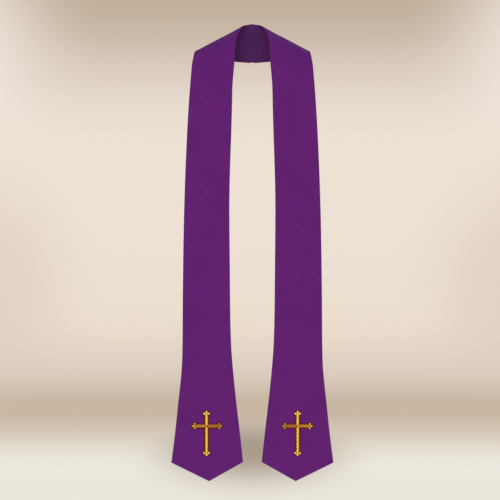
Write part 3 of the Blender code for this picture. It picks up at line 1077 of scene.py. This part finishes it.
SKY_COLOUR = (0.80, 0.88, 1.06)
SKY_STRENGTH = 0.7
SUN_COLOUR = (0.86, 0.95, 1.20)  # a little cool, against the warm walls
Sun = namedtuple("Sun", "towards strength softness")  # its softness is in degrees
SUNS = {
    "key": Sun((0.04, 0.97, -0.22), 2.3, 35),
    "back_light": Sun((-0.35, -0.8, -0.55), 1.0, 40),
}

# Painted light and shade on the glowing wall and floor: darker where the wall meets the floor and towards the
# wall's top, brightest in the wall's middle and on the floor near the room's middle.
PAINTED_CORNER_SHADE = (200, 182, 163)
WALL_MIDDLE = (236, 224, 211)
FLOOR_NEAR = (236, 231, 221)
WALL_COLOURS = [  # heights up the wall, and its paint there
    (FLOOR_HEIGHT, PAINTED_CORNER_SHADE),
    (-1.43, (217, 203, 187)),
    (-1.15, (232, 219, 203)),
    (-0.73, WALL_MIDDLE),
    (0.10, WALL_MIDDLE),
    (0.38, (226, 213, 201)),
    (0.66, (208, 192, 176)),
    (0.95, (194, 175, 155)),
]
FLOOR_COLOURS = [  # distances from the room's middle, and the floor's paint there
    (8.8, FLOOR_NEAR),
    (12.0, FLOOR_NEAR),
    (15.4, (222, 213, 198)),
    (20.0, (205, 188, 169)),
    (STUDIO_RADIUS, PAINTED_CORNER_SHADE),
]
# Soft patches on the paint: brightened by lamps, or in shade.
Patch = namedtuple("Patch", "middle reach colour strength")
WALL_PATCHES = [Patch((x, 24.4, 0.62), (1.15, 9.0, 1.15), (240, 231, 222), 1.0) for x in (-2.0, 2.0)]
WALL_PATCHES += [Patch((x, 24.4, -0.85), (0.9, 9.0, 1.1), (215, 199, 184), 0.5) for x in (-1.7, 1.7)]
FLOOR_PATCHES = [Patch((0.0, 14.0, FLOOR_HEIGHT), (0.68, 8.5, 1.0), (166, 151, 136), 0.95)]


def studio():
    """A round room with a pale floor, the same from every side and see-through from outside."""
    turns = [2 * pi * k / STUDIO_SIDES for k in range(STUDIO_SIDES)]
    circle = [(STUDIO_RADIUS * cos(t), STUDIO_RADIUS * sin(t)) for t in turns]
    floor_mesh = bpy.data.meshes.new("floor")
    floor_mesh.from_pydata([(x, y, FLOOR_HEIGHT) for x, y in circle], [], [range(STUDIO_SIDES)])
    wall_points = [(x, y, z) for z in (FLOOR_HEIGHT, STUDIO_HEIGHT) for x, y in circle]
    foot, top = list(range(STUDIO_SIDES)), list(range(STUDIO_SIDES, 2 * STUDIO_SIDES))
    wall_mesh = bpy.data.meshes.new("studio_wall")
    wall_mesh.from_pydata(wall_points, [], between(foot, top))
    floor_mesh.materials.append(glowing("floor_painted_light", FLOOR_COLOURS, FLOOR_PATCHES, radial=True))
    wall_mesh.materials.append(glowing("wall_painted_light", WALL_COLOURS, WALL_PATCHES, radial=False))
    for mesh in (floor_mesh, wall_mesh):
        obj = in_scene(mesh.name, mesh)
        obj.visible_shadow = False  # the suns shine in from outside


def lights_and_camera():
    for name, sun in SUNS.items():
        lamp = bpy.data.lights.new(name, "SUN")
        lamp.energy = sun.strength
        lamp.angle = radians(sun.softness)
        lamp.color = SUN_COLOUR
        obj = in_scene(name, lamp)
        obj.rotation_mode = "QUATERNION"
        obj.rotation_quaternion = Vector(sun.towards).to_track_quat("-Z", "Y")
    world = bpy.data.worlds.new("studio_air")
    world.use_nodes = True
    sky = world.node_tree.nodes["Background"].inputs
    sky["Color"].default_value = (*SKY_COLOUR, 1)
    sky["Strength"].default_value = SKY_STRENGTH
    bpy.context.scene.world = world
    camera = bpy.data.cameras.new("camera")
    camera.sensor_width = SENSOR_WIDTH
    camera.lens = SENSOR_WIDTH * -CAMERA_PLACE[1] / VIEW_WIDTH
    obj = in_scene("camera", camera)
    obj.location = CAMERA_PLACE
    obj.rotation_euler = (radians(90), 0, 0)
    bpy.context.scene.camera = obj
    bpy.context.scene.view_settings.view_transform = "Standard"


# ---- the stole


def all_finishes():
    cloths = {name: woven(name, weave) for name, weave in WEAVES.items()}
    return cloths | {name: thread(name, finish) for name, finish in THREADS.items()}


def build_half(word, side, folds, cross_x, tree, finishes):
    """One half with its cross, said to ride on the one body and to stand for its solids."""
    half = HalfStole(SHARED_FOLDS + folds, cross_x)
    points, flat = half.grid()
    points[0, :, 0] = SEAM_GAP / 2
    cloth, satin = (finishes[name] for name in WEAVES)
    face = cloth_shell(f"{word}_outer_cloth", points, flat, 0.0, FACE_WALL, cloth, side)
    lined, lining_flat = drawn_in(points, flat, LINING_INSET)
    lined[0, :, 0] = SEAM_GAP / 2
    start = FACE_WALL + LINING_GAP
    lining = cloth_shell(f"{word}_lining_cloth", lined, lining_flat, start, LINING_WALL, satin, side)
    sewn = slip_stitches(word, lined, side, tree, finishes)
    cross = build_cross(half, word, side, tree, finishes)
    for piece in (face, lining, sewn, *cross):
        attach(piece, "root")
    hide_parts(f"{word}_face")
    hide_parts(f"{word}_lining")
    for piece in cross:
        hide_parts(f"{word}_cross")


studio()
lights_and_camera()
made_finishes = all_finishes()
stitching_tree = stitch_tree()
build_half("left", 1, LEFT_FOLDS, LEFT_CROSS_X, stitching_tree, made_finishes)
build_half("right", -1, RIGHT_FOLDS, RIGHT_CROSS_X, stitching_tree, made_finishes)
